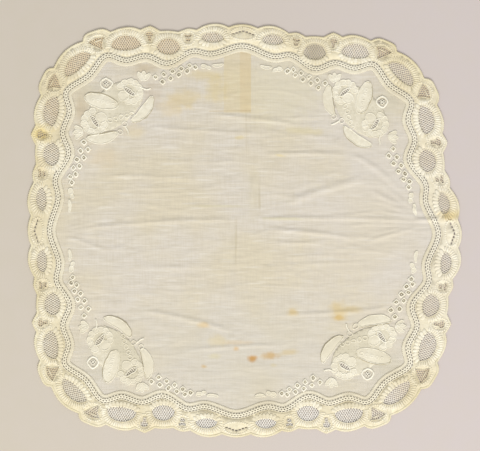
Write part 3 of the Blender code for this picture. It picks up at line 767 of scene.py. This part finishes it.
def add_cords(made, lines, radius, height, flat=1.0, closed=True, bumps=0.0):
    """Round or flattened cords that lie along the lines, bumpy where they are stitched over."""
    curve = bpy.data.curves.new("cords", "CURVE")
    curve.dimensions = "3D"
    curve.bevel_depth = radius
    curve.bevel_resolution = 1
    curve.use_fill_caps = not closed
    for line in lines:
        spline = curve.splines.new("POLY")
        spline.points.add(len(line) - 1)
        for n, (knot, point) in enumerate(zip(spline.points, line)):
            knot.co = (point[0], point[1], 0.0, 1.0)
            knot.radius = 1.0 + bumps * (-1) ** n
        spline.use_cyclic_u = closed
    holder = bpy.data.objects.new("cords", curve)
    mesh = bpy.data.meshes.new_from_object(holder)
    mesh.transform(Matrix.Translation((0.0, 0.0, height)) @ Matrix.Diagonal((1.0, 1.0, flat, 1.0)))
    made.from_mesh(mesh)
    bpy.data.objects.remove(holder)
    bpy.data.curves.remove(curve)
    bpy.data.meshes.remove(mesh)


def worked(point):
    """Where a stitched place lies: a little off its true place, as handwork is."""
    place = lie(point)
    spot = Vector((place.x / WOBBLE_REACH, place.y / WOBBLE_REACH, 11.0))
    aside = noise.noise(spot), noise.noise(spot + Vector((0.0, 0.0, 12.0)))
    return place + Vector(aside) * WOBBLE


def petal_point(along, across, x, y, bearing_deg, half_length, half_width, bow):
    """A point at shares along and across a petal, which bows to the left of its bearing."""
    bent = across * half_width + bow * (1.0 - along * along)
    return Vector((x, y)) + turned((along * half_length, bent), math.radians(bearing_deg))


def petal_edge(row, points=24):
    """The outline of a petal, from its place, bearing, size and bow."""
    angles = [math.tau * n / points for n in range(points)]
    return [petal_point(math.cos(angle), math.sin(angle), *row) for angle in angles]


def add_petal(made, quarter, row):
    """A raised petal or leaf, domed, in one of the corners."""
    petal = BALLS[20].copy()
    for vert in petal.vertices:
        along, across, up = vert.co
        place = worked(turned(petal_point(along, across, *row), quarter))
        vert.co = (*place, PETAL_HEIGHT + up * PETAL_HALF_THICK)
    made.from_mesh(petal)
    bpy.data.meshes.remove(petal)


def in_four_corners(line):
    """A line of the first corner's spray, as it lies in each of the four corners."""
    return [[worked(turned(point, quarter)) for point in line] for quarter in QUARTERS]


def add_node(tree, kind, sockets=None, **settings):
    """A shader node with its settings and its plain socket values."""
    node = tree.nodes.new(kind)
    for key, value in settings.items():
        setattr(node, key, value)
    for key, value in (sockets or {}).items():
        node.inputs[key].default_value = value
    return node


def mixed(tree, share, first, second):
    """A colour mixed from two, each a socket or a plain colour."""
    mix = add_node(tree, "ShaderNodeMix", data_type="RGBA")
    for socket, value in ((mix.inputs[0], share), (mix.inputs[6], first), (mix.inputs[7], second)):
        if isinstance(value, bpy.types.NodeSocket):
            tree.links.new(value, socket)
        else:
            socket.default_value = value
    return mix.outputs[2]


def fitted(tree, socket, low, high, to_low=0.0, to_high=1.0):
    """A value fitted from one range into another, eased at both ends."""
    limits = {"From Min": low, "From Max": high, "To Min": to_low, "To Max": to_high}
    fit = add_node(tree, "ShaderNodeMapRange", limits, interpolation_type="SMOOTHSTEP")
    tree.links.new(socket, fit.inputs["Value"])
    return fit.outputs["Result"]


def noise_value(tree, place, scale, detail=2.0, stretch=(1.0, 1.0, 1.0), roughness=0.5):
    """Noise over the piece, drawn out by the stretch."""
    mapping = add_node(tree, "ShaderNodeMapping", {"Scale": stretch})
    speckle = add_node(tree, "ShaderNodeTexNoise", {"Scale": scale, "Detail": detail, "Roughness": roughness})
    tree.links.new(place, mapping.inputs["Vector"])
    tree.links.new(mapping.outputs["Vector"], speckle.inputs["Vector"])
    return speckle.outputs["Fac"]


def joined(tree, operation, first, second):
    """Two values joined into one: their sum, or the greater of them."""
    node = add_node(tree, "ShaderNodeMath", operation=operation)
    tree.links.new(first, node.inputs[0])
    tree.links.new(second, node.inputs[1])
    return node.outputs["Value"]


def round_distance(tree, place):
    """How far out a place is in a stain that is an oval, 1 at its edge."""
    length = add_node(tree, "ShaderNodeVectorMath", operation="LENGTH")
    tree.links.new(place, length.inputs[0])
    return length.outputs["Value"]


def square_distance(tree, place):
    """How far out a place is in a stain with straight edges, 1 at its edge."""
    whole = add_node(tree, "ShaderNodeVectorMath", operation="ABSOLUTE")
    parts = add_node(tree, "ShaderNodeSeparateXYZ")
    tree.links.new(place, whole.inputs[0])
    tree.links.new(whole.outputs["Vector"], parts.inputs["Vector"])
    return joined(tree, "MAXIMUM", parts.outputs["X"], parts.outputs["Y"])


def stained(tree, place, colour, stains):
    """The colour with each stain, tint and painted highlight of a table laid over it, the edge of a soft one
    broken by noise.
    """
    blot = noise_value(tree, place, 160.0, 3.0)
    for x, y, turn_deg, reach_x, reach_y, hard, strength, tint in stains:
        turn = (0.0, 0.0, math.radians(turn_deg))
        spot = {"Location": (x, y, 0.0), "Rotation": turn, "Scale": (reach_x, reach_y, 1.0)}
        mapping = add_node(tree, "ShaderNodeMapping", spot, vector_type="TEXTURE")
        tree.links.new(place, mapping.inputs["Vector"])
        if hard:
            distance = square_distance(tree, mapping.outputs["Vector"])
            share = fitted(tree, distance, 1.03, 0.97, 0.0, strength)
        else:
            distance = round_distance(tree, mapping.outputs["Vector"])
            share = fitted(tree, joined(tree, "ADD", distance, blot), 1.6, 0.7, 0.0, strength)
        colour = mixed(tree, share, colour, tint)
    return colour


def new_finish(name, roughness):
    """A bare cloth material: its tree, its shader and the place on the piece."""
    material = bpy.data.materials.new(name)
    material.use_nodes = True
    tree = material.node_tree
    shader = tree.nodes["Principled BSDF"]
    shader.inputs["Roughness"].default_value = roughness
    shader.inputs["Specular IOR Level"].default_value = 0.25
    place = add_node(tree, "ShaderNodeTexCoord").outputs["Object"]
    return material, tree, shader, place


def bumped(tree, shader, heights):
    """Raises the surface by each height in turn: socket, strength and depth in metres."""
    under = None
    for socket, strength, depth in heights:
        bump = add_node(tree, "ShaderNodeBump", {"Strength": strength, "Distance": depth})
        tree.links.new(socket, bump.inputs["Height"])
        if under is not None:
            tree.links.new(under, bump.inputs["Normal"])
        under = bump.outputs["Normal"]
    tree.links.new(under, shader.inputs["Normal"])


def weave(tree, place, pitch):
    """Threads over and under each other, a pitch apart."""
    threads = []
    for direction in ("X", "Y"):
        twist = {"Scale": WAVE_SCALE / pitch, "Distortion": 0.6, "Detail": 1.0, "Detail Scale": 0.4}
        wave = add_node(tree, "ShaderNodeTexWave", twist, bands_direction=direction)
        tree.links.new(place, wave.inputs["Vector"])
        threads.append(wave.outputs["Fac"])
    return joined(tree, "MAXIMUM", *threads)


def linen_finish():
    """Sheer plain-woven linen, ivory, slubbed and stained, with painted highlight lines for fine wrinkles and
    one painted highlight line along a crease.
    """
    material, tree, shader, place = new_finish("sheer_linen", 0.78)
    patches = noise_value(tree, place, 14.0, 4.0)
    weft_slubs = noise_value(tree, place, 95.0, 3.0, (0.6, 11.0, 1.0))
    warp_slubs = noise_value(tree, place, 95.0, 3.0, (11.0, 0.6, 1.0))
    threads = weave(tree, place, THREAD_PITCH)
    painted_highlight_streaks = noise_value(tree, place, 70.0, 3.0, (0.5, 6.0, 1.0))
    colour = mixed(tree, fitted(tree, patches, 0.38, 0.64), tone(240, 233, 221), tone(240, 230, 205))
    colour = mixed(tree, fitted(tree, weft_slubs, 0.42, 0.64, 0.0, 0.45), colour, tone(222, 212, 190))
    colour = mixed(tree, fitted(tree, warp_slubs, 0.42, 0.64, 0.0, 0.30), colour, tone(222, 212, 190))
    # painted highlight: thin pale lines along the weft stand in for light caught on fine wrinkles
    colour = mixed(tree, fitted(tree, painted_highlight_streaks, 0.56, 0.68, 0.0, 0.35), colour, tone(254, 250, 240))
    colour = mixed(tree, fitted(tree, threads, 0.9, 0.2, 0.0, 0.15), colour, tone(206, 196, 172))
    colour = stained(tree, place, colour, LINEN_STAINS_AND_HIGHLIGHT)
    tree.links.new(colour, shader.inputs["Base Color"])
    tree.links.new(fitted(tree, patches, 0.3, 0.7, 0.70, 0.86), shader.inputs["Roughness"])
    shader.inputs["Alpha"].default_value = 0.74
    wrinkles = noise_value(tree, place, 45.0, 4.0, (0.5, 2.5, 1.0))
    bumped(tree, shader, ((wrinkles, 0.60, 0.0010), (weft_slubs, 0.30, 0.0002), (threads, 0.35, 0.00012)))
    return material


def thread_finish(name, light, dark, stitch, stains):
    """Worked cotton thread: strands a stitch apart, with soft changes of colour."""
    material, tree, shader, place = new_finish(name, 0.72)
    patches = noise_value(tree, place, 26.0, 4.0)
    strands = noise_value(tree, place, 0.5 / stitch, 3.0, roughness=0.65)
    fibre = noise_value(tree, place, 3.0 / stitch, 2.0)
    colour = mixed(tree, fitted(tree, patches, 0.36, 0.68), light, dark)
    stitches = noise_value(tree, place, 330.0, 2.0)
    colour = mixed(tree, fitted(tree, stitches, 0.60, 0.36, 0.0, 0.50), colour, dark)
    colour = mixed(tree, fitted(tree, strands, 0.58, 0.30, 0.0, 0.45), colour, dark)
    colour = stained(tree, place, colour, stains)
    tree.links.new(colour, shader.inputs["Base Color"])
    tree.links.new(fitted(tree, strands, 0.3, 0.7, 0.62, 0.82), shader.inputs["Roughness"])
    bumped(tree, shader, ((stitches, 0.5, 0.0004), (strands, 0.6, 0.0003), (fibre, 0.3, 0.00008)))
    return material


def floor_finish():
    """Plain pale paper, warm grey, with a faint mottle, and painted light that makes it a little lighter and
    cooler towards the right.
    """
    material, tree, shader, place = new_finish("pale_floor", 0.9)
    mottle = noise_value(tree, place, 55.0, 4.0)
    across = add_node(tree, "ShaderNodeSeparateXYZ")
    tree.links.new(place, across.inputs["Vector"])
    # painted light: the paper is darker and warmer on the left and lighter and cooler on the right, as the
    # light falls across it
    painted_light_to_right = fitted(tree, across.outputs["X"], -0.25, 0.25)
    colour = mixed(tree, painted_light_to_right, tone(205, 196, 181), tone(208, 198, 195))
    colour = mixed(tree, fitted(tree, mottle, 0.3, 0.7, 0.0, 0.3), colour, tone(208, 198, 188))
    tree.links.new(colour, shader.inputs["Base Color"])
    bumped(tree, shader, ((noise_value(tree, place, 900.0, 2.0), 0.15, 0.0002),))
    return material


def add_piece(name, made, finish, thick=0.0):
    """Lifts a flat-made piece over creases and wrinkles, sets it in the frame and registers it."""
    for vert in made.verts:
        vert.co.z += rise(vert.co.xy)
    bmesh.ops.translate(made, verts=made.verts[:], vec=(-MIDDLE.x, -MIDDLE.y, 0.0))
    bmesh.ops.recalc_face_normals(made, faces=made.faces[:])
    mesh = mesh_from(made, name)
    mesh.shade_smooth()
    mesh.materials.append(finish)
    piece = add_object(name, mesh)
    if thick:
        wall = piece.modifiers.new("wall", "SOLIDIFY")
        wall.thickness = thick
        wall.offset = 0.0
    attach(piece, "root")
    return piece


def raised(made, height):
    """A flat-made piece set at its height above the cloth's underside."""
    bmesh.ops.translate(made, verts=made.verts[:], vec=(0.0, 0.0, height))
    return made


def petal_rows():
    """Place, bearing, size and bow of each petal, leaf and bud of one spray."""
    rows = list(LEAVES)
    for x, y, _, heart_deg, from_deg, to_deg in FLOWERS:
        for n in range(FLOWER_PETALS):
            bearing = from_deg + (to_deg - from_deg) * n / (FLOWER_PETALS - 1)
            place = Vector((x, y)) + turned((FLOWER_RING, 0.0), math.radians(bearing))
            rows.append((*place, bearing + 90.0, PETAL_LENGTH, PETAL_WIDTH, 0.0))
        heart = Vector((x, y)) + turned((HEART_REACH, 0.0), math.radians(heart_deg))
        rows.append((*heart, heart_deg, HEART_RADIUS, HEART_RADIUS, 0.0))
    for x, y, middle_deg in FANS:
        for n in range(FAN_LEAVES):
            bearing = middle_deg + FAN_SPREAD_DEG * (n - (FAN_LEAVES - 1) / 2)
            place = Vector((x, y)) + turned((FAN_LENGTH, 0.0), math.radians(bearing))
            rows.append((*place, bearing, FAN_LENGTH, FAN_WIDTH, 0.0))
    for x, y, bearing, half_length, half_width, bow in TRAIL_LEAVES:
        rows.append((x, y, bearing, half_length, half_width, bow))
        rows.append((-y, -x, 270.0 - bearing, half_length, half_width, -bow))
    return rows


def berry_rows():
    """Place and radius of each berry of one spray."""
    rows = []
    for start_x, start_y, end_x, end_y, count, radius in BERRY_ROWS:
        for n in range(count):
            place = Vector((start_x, start_y)).lerp(Vector((end_x, end_y)), n / (count - 1))
            rows.append((*place, radius))
    return rows


def stem_line(x, y, start_deg, bend_deg, radius):
    """A stem: an arc that sets off at one bearing and bends by an angle, left where positive."""
    side = math.copysign(1.0, bend_deg)
    hub = Vector((x, y)) + turned((0.0, radius * side), math.radians(start_deg))
    arm = Vector((x, y)) - hub
    return [hub + turned(arm, math.radians(bend_deg * n / (STEM_POINTS - 1))) for n in range(STEM_POINTS)]


def eyelet_places():
    """The zigzag trail of eyelets along the top, and its mirror image down the side."""
    start, end = Vector(TRAIL_START), Vector(TRAIL_END)
    way = (end - start).normalized()
    places = []
    for n in range(TRAIL_EYELETS):
        share = n / (TRAIL_EYELETS - 1)
        aside = (-1) ** n * TRAIL_ZIGZAG * (1.0 - TRAIL_TAPER * share)
        place = start.lerp(end, share) + Vector((-way.y, way.x)) * aside
        places += [(place.x, place.y), (-place.y, -place.x)]
    return places


def diamond(reach):
    """A square on its corner at the lozenge's place."""
    middle = Vector(LOZENGE_PLACE)
    return [middle + turned((reach, 0.0), quarter) for quarter in QUARTERS]


def slit_edges():
    """The edge of the open slit in each flower, in all four corners."""
    holes = []
    for x, y, slit_deg, _, _, _ in FLOWERS:
        holes += in_four_corners(petal_edge((x, y, slit_deg, SLIT_LENGTH, SLIT_WIDTH, 0.0), 16))
    return holes


def eyelet_edge(x, y, reach, points=8):
    """A small square on its corner, its sides a little rounded."""
    edge = []
    for n in range(points):
        angle = math.tau * n / points
        swell = 1.0 if n % 2 == 0 else 0.80
        edge.append(Vector((x + reach * swell * math.cos(angle), y + reach * swell * math.sin(angle))))
    return edge


def eyelet_edges(reach):
    """The edge of every small eyelet, in all four corners."""
    return [edge for x, y in eyelet_places() for edge in in_four_corners(eyelet_edge(x, y, reach))]


def linen_sheet(finish):
    """The sheer panel, cut to the line of the band and opened at its eyelets and slits."""
    edge = beside(BAND, -BAND_WIDTH / 2 - SEAM_GAP)
    sheet = bmesh.new()
    corners, edges = add_round(sheet, edge)
    bmesh.ops.contextual_create(sheet, geom=corners + edges)
    cut_in_cells(sheet, (0.0, 0.0), CLOTH_REACH, CLOTH_CELL_X, turns=(0.0,))
    cut_in_cells(sheet, (0.0, 0.0), CLOTH_REACH, CLOTH_CELL_Y, turns=(math.pi / 2,))
    open_holes(sheet, slit_edges() + in_four_corners(diamond(WINDOW_REACH)) + eyelet_edges(EYELET_HOLE))
    return add_piece("linen_sheet", raised(sheet, LINEN_HEIGHT), finish, LINEN_THICK)


def hem_roll(finish):
    """The rolled hem, and the stitches that bind it down."""
    made = bmesh.new()
    inner_edge = -BAND_WIDTH / 2 - HEM_WIDTH + SEAM_GAP
    flat = HEM_HALF_THICK * 2 / HEM_WIDTH
    add_cords(made, [beside(BAND, inner_edge + HEM_WIDTH / 2)], HEM_WIDTH / 2, HEM_HEIGHT, flat)
    for point, way in spaced(beside(BAND, inner_edge + HEM_WIDTH * 0.40), HEM_STITCH_PITCH):
        across = Vector((way.y, -way.x))
        add_bead(made, point, across, HEM_WIDTH * 0.58, HEM_STITCH_HALF_WIDTH, HEM_HALF_THICK, HEM_HEIGHT)
    return add_piece("hem_roll", made, finish)


def pierced_band(finish):
    """The footing band: three staggered rows of small holes between two plain edges."""
    columns = len(spaced(BAND, BAND_HOLE_PITCH)) * COLUMNS_PER_HOLE
    stops = spaced(BAND, length_round(BAND) / columns)
    rows = len(BAND_ROWS) - 1
    strip = bmesh.new()
    bmesh.ops.create_grid(strip, x_segments=columns, y_segments=rows, size=0.5)
    opened = []
    for face in strip.faces:
        middle = face.calc_center_median()
        column = int((middle.x + 0.5) * columns)
        row = int((middle.y + 0.5) * rows)
        if column % COLUMNS_PER_HOLE in OPEN_COLUMNS.get(row, ()):
            opened.append(face)
    bmesh.ops.delete(strip, geom=opened, context="FACES")
    for vert in strip.verts:
        point, way = stops[round((vert.co.x + 0.5) * columns) % columns]
        across = BAND_ROWS[round((vert.co.y + 0.5) * rows)]
        vert.co.xy = point + Vector((way.y, -way.x)) * across
    bmesh.ops.remove_doubles(strip, verts=strip.verts[:], dist=MERGE_DISTANCE)
    bmesh.ops.smooth_vert(strip, verts=strip.verts[:], factor=0.25, use_axis_x=True, use_axis_y=True)
    return add_piece("footing_lace", raised(strip, BAND_HEIGHT), finish, BAND_THICK)


def oval_edges(grown=0.0):
    """The edge of every oval in the lace, grown by a margin."""
    edges = []
    for *place, half_length, reach_out, reach_in, _, _ in OVALS:
        edges += placed_all_round(*place, oval(half_length, reach_out, reach_in, grown))
    return edges


def gap_edges(gaps):
    """The edge of every gap of a table, all round the lace."""
    return [edge for row in gaps for edge in placed_all_round(*row)]


def lace_ground(finish):
    """The close-worked ground of the edging, between the rim and the band."""
    ground = bmesh.new()
    edges = [beside(RIM, -RIM_INSET), beside(BAND, BAND_WIDTH / 2 - BAND_OVERLAP)]
    for line in edges + oval_edges() + gap_edges(NET_GAPS + OPEN_GAPS):
        add_round(ground, line)
    edges = ground.edges[:]
    bmesh.ops.triangle_fill(ground, use_beauty=True, use_dissolve=False, edges=edges, normal=(0, 0, 1))
    cut_in_cells(ground, (0.0, 0.0), GROUND_REACH, GROUND_CELL)
    return add_piece("lace_ground", raised(ground, GROUND_HEIGHT), finish, GROUND_THICK)


def add_spokes(made, row, span_deg, reach, pitch, bar):
    """Bars of thread that stand off the edge of an oval, given by its row, all round the lace."""
    along, out, tilt_deg, *shape = row
    for line in spokes(shape, span_deg, reach, pitch):
        for start, end in placed_all_round(along, out, tilt_deg, line):
            add_bar(made, start, end, *bar)


def lace_ribs(finish):
    """The ribs that stand round the outer side of each oval, and round the gaps."""
    made = bmesh.new()
    for *row, from_deg, to_deg in OVALS:
        add_spokes(made, row, (from_deg, to_deg), RIB_REACH, RIB_PITCH, RIB)
    for row in GAP_RIBS:
        add_spokes(made, row, WHOLE_SPAN_DEG, GAP_RIB_REACH, RIB_PITCH, GAP_RIB)
    return add_piece("lace_ribs", made, finish)


def lace_teeth(finish):
    """The broad teeth between each oval's net and the band."""
    made = bmesh.new()
    for *row, _, _ in OVALS:
        add_spokes(made, row, TEETH_SPAN_DEG, TOOTH_REACH, TOOTH_PITCH, TOOTH)
    return add_piece("lace_teeth", made, finish)


def lace_cords(finish):
    """The cord round each oval and gap, and the bars across the gaps."""
    made = bmesh.new()
    add_cords(made, oval_edges(OVAL_CORD_OUT), *OVAL_CORD)
    add_cords(made, gap_edges(NET_GAPS), *OVAL_CORD)
    for start, end in gap_edges(GAP_BARS):
        add_bar(made, start, end, *GAP_BAR)
    return add_piece("lace_cords", made, finish)


def add_net(made, outline, pitch, bearing):
    """Net of slanting threads inside an outline, its rows of holes along the bearing."""
    net = bmesh.new()
    corners, edges = add_round(net, outline)
    bmesh.ops.contextual_create(net, geom=corners + edges)
    middle = sum(outline, Vector((0.0, 0.0))) / len(outline)
    reach = max((point - middle).length for point in outline)
    slant = math.radians(90.0 - NET_SLANT_DEG)
    cut_in_cells(net, middle, reach, pitch, (bearing + slant, bearing - slant))
    bmesh.ops.wireframe(
        net, faces=net.faces[:], thickness=NET_THREAD, offset=0.0, use_replace=True,
        use_boundary=True, use_even_offset=True, use_relative_offset=False)
    mesh = mesh_from(net, "net")
    made.from_mesh(mesh)
    bpy.data.meshes.remove(mesh)


def net_fillings(finish):
    """The net in the ovals."""
    made = bmesh.new()
    for outline in oval_edges(NET_OVERLAP):
        long_way = outline[0] - outline[POINTS_PER_OVAL // 2]
        add_net(made, outline, NET_PITCH, math.atan2(long_way.y, long_way.x))
    return add_piece("net_fillings", raised(made, NET_HEIGHT), finish)


def gap_nets(finish):
    """The darker net in the gaps between the ovals."""
    made = bmesh.new()
    for outline in gap_edges(NET_GAPS):
        long_way = outline[2] - outline[4]
        add_net(made, outline, GAP_NET_PITCH, math.atan2(long_way.y, long_way.x))
    return add_piece("gap_nets", raised(made, NET_HEIGHT), finish)


def rim_tape(finish):
    """The yellowed tape along the scalloped rim, with its tiny picots."""
    made = bmesh.new()
    flat = TAPE_HALF_THICK / TAPE_HALF_WIDTH
    add_cords(made, [beside(RIM, -TAPE_INSET)], TAPE_HALF_WIDTH, TAPE_HEIGHT, flat)
    for point, way in spaced(beside(RIM, -PICOT_INSET), PICOT_PITCH):
        add_bead(made, point, way, *PICOT)
    return add_piece("rim_tape", made, finish)


def spray_field(finish):
    """The close-stitched ground under each corner spray, with its seed stitches."""
    field = bmesh.new()
    for line in in_four_corners(petal_edge(FIELD_OVAL, 40)):
        corners, edges = add_round(field, line)
        bmesh.ops.contextual_create(field, geom=corners + edges)
    cut_in_cells(field, (0.0, 0.0), FIELD_REACH, FIELD_CELL)
    middles = [face.calc_center_median() for face in field.faces]
    open_holes(field, slit_edges())
    draw = random.Random(5)
    seeds = bmesh.new()
    for middle in draw.sample(middles, 4 * SEEDS_EACH):
        angle = draw.uniform(0.0, math.pi)
        add_bead(seeds, middle, (math.cos(angle), math.sin(angle)), *SEED)
    ground = add_piece("spray_field", raised(field, FIELD_HEIGHT), finish, FIELD_THICK)
    return ground, add_piece("seed_stitches", seeds, finish)


def spray_petals(finish):
    """The padded petals, leaves and buds of the corner sprays."""
    made = bmesh.new()
    for quarter in QUARTERS:
        for row in petal_rows():
            add_petal(made, quarter, row)
    return add_piece("spray_petals", made, finish)


def add_lozenges(made):
    """The corded lozenge in each corner, and its window with two crossed bars."""
    lozenges = in_four_corners(smooth_round(diamond(LOZENGE_REACH), 4))
    add_cords(made, lozenges, *LOZENGE_CORD, bumps=CORD_BUMPS)
    window = diamond(WINDOW_REACH)
    add_cords(made, in_four_corners(window), *WINDOW_CORD)
    middles = [corner.lerp(after, 0.5) for corner, after in zip(window, window[1:] + window[:1])]
    bars = in_four_corners(middles[0::2]) + in_four_corners(middles[1::2])
    add_cords(made, bars, *WINDOW_BAR, closed=False)


def add_slit_bars(made):
    """The bars of thread across the open slit in each flower."""
    for x, y, slit_deg, _, _, _ in FLOWERS:
        for n in range(SLIT_BARS):
            along = SLIT_LENGTH * (2 * (n + 0.5) / SLIT_BARS - 1) * SLIT_BARS_SHARE
            turn = math.radians(slit_deg)
            ends = [Vector((x, y)) + turned((along, side), turn) for side in (-SLIT_WIDTH, SLIT_WIDTH)]
            for start, end in in_four_corners(ends):
                add_bar(made, start, end, *SLIT_BAR)


def spray_cords(finish):
    """The corded outlines, berries, stems and slit bars of the corner sprays."""
    made = bmesh.new()
    outlines = []
    for row in petal_rows():
        outlines += in_four_corners(petal_edge(row))
    for x, y, radius in berry_rows():
        reach = radius - BERRY_INSET
        outlines += in_four_corners(petal_edge((x, y, 0.0, reach, reach, 0.0), 12))
    add_cords(made, outlines, *PETAL_CORD, bumps=CORD_BUMPS)
    add_cords(made, slit_edges(), *SLIT_CORD, bumps=CORD_BUMPS)
    add_lozenges(made)
    stems = [stem for row in STEMS for stem in in_four_corners(stem_line(*row))]
    add_cords(made, stems, *STEM_CORD, closed=False, bumps=CORD_BUMPS)
    add_slit_bars(made)
    return add_piece("spray_cords", made, finish)


def painted_shade_lines(finish):
    """Dark cords of painted shade: thin dark thread laid along one side of each leaf and inside the eyelets,
    where crevices and holes lie in shade.
    """
    made = bmesh.new()
    lines = []
    for *place, half_width, bow in LEAVES:
        edge = petal_edge((*place, half_width + LEAF_LINE_OFF, bow))
        lines += in_four_corners(edge[:len(edge) // 2 + 1])
    add_cords(made, lines, *LEAF_LINE, closed=False)
    add_cords(made, eyelet_edges(EYELET_HOLE), *EYELET_LINE)
    return add_piece("painted_shade_lines", made, finish)


def eyelet_rings(finish):
    """The stitched squares round the small eyelets, each with a knot in its middle."""
    made = bmesh.new()
    add_cords(made, eyelet_edges(EYELET_REACH), *RING_CORD, bumps=CORD_BUMPS)
    for place in eyelet_places():
        for spot in in_four_corners([Vector(place)]):
            add_bead(made, spot[0], (1.0, 0.0), *KNOT)
    return add_piece("eyelet_rings", made, finish)


def add_floor():
    """The plain pale floor that the cloth lies on."""
    made = bmesh.new()
    bmesh.ops.create_grid(made, x_segments=1, y_segments=1, size=FLOOR_SIZE)
    mesh = mesh_from(made, "floor")
    mesh.materials.append(floor_finish())
    add_object("floor", mesh)


def add_lights():
    """A soft key from the near side, and even light from all round."""
    lamp = bpy.data.lights.new("soft_key", "AREA")
    lamp.shape = "RECTANGLE"
    lamp.size, lamp.size_y = LAMP_SIZE
    lamp.energy = LAMP_WATTS
    lamp.color = LAMP_COLOUR
    key = add_object("soft_key", lamp)
    key.location = LAMP_PLACE
    key.rotation_euler = (-key.location).to_track_quat("-Z", "Y").to_euler()
    world = bpy.data.worlds.new("even_light")
    world.use_nodes = True
    world.node_tree.nodes["Background"].inputs["Color"].default_value = (1.0, 1.0, 1.0, 1.0)
    world.node_tree.nodes["Background"].inputs["Strength"].default_value = EVEN_LIGHT
    bpy.context.scene.world = world
    bpy.context.scene.view_settings.view_transform = "Standard"


def add_camera():
    """The camera, straight above the middle of the view."""
    lens = bpy.data.cameras.new("camera")
    lens.sensor_width = SENSOR_WIDTH
    lens.lens = SENSOR_WIDTH * CAMERA_HEIGHT / VIEW_WIDTH
    camera = add_object("camera", lens)
    camera.location = (*VIEW_MIDDLE, CAMERA_HEIGHT)
    bpy.context.scene.camera = camera


def main():
    """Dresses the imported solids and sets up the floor, light and camera."""
    add_camera()
    add_lights()
    add_floor()
    thread = {name: thread_finish(name, *row) for name, row in THREADS.items()}
    linen = linen_sheet(linen_finish())
    hem = hem_roll(thread["hem_cloth"])
    field, seeds = spray_field(thread["seed_stitch"])
    petals = spray_petals(thread["padding_stitch"])
    cords = spray_cords(thread["satin_stitch"])
    lines = painted_shade_lines(thread["painted_shade_thread"])
    rings = eyelet_rings(thread["satin_stitch"])
    band = pierced_band(thread["band_thread"])
    ground = lace_ground(thread["ground_thread"])
    nets = [net_fillings(thread["net_thread"]), gap_nets(thread["tan_thread"])]
    trimmings = [build(thread["worked_thread"]) for build in (lace_ribs, lace_teeth, lace_cords)]
    trimmings.append(rim_tape(thread["yellowed_thread"]))
    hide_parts("linen_panel")
    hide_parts("footing_band")
    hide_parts("lace_edging")


main()
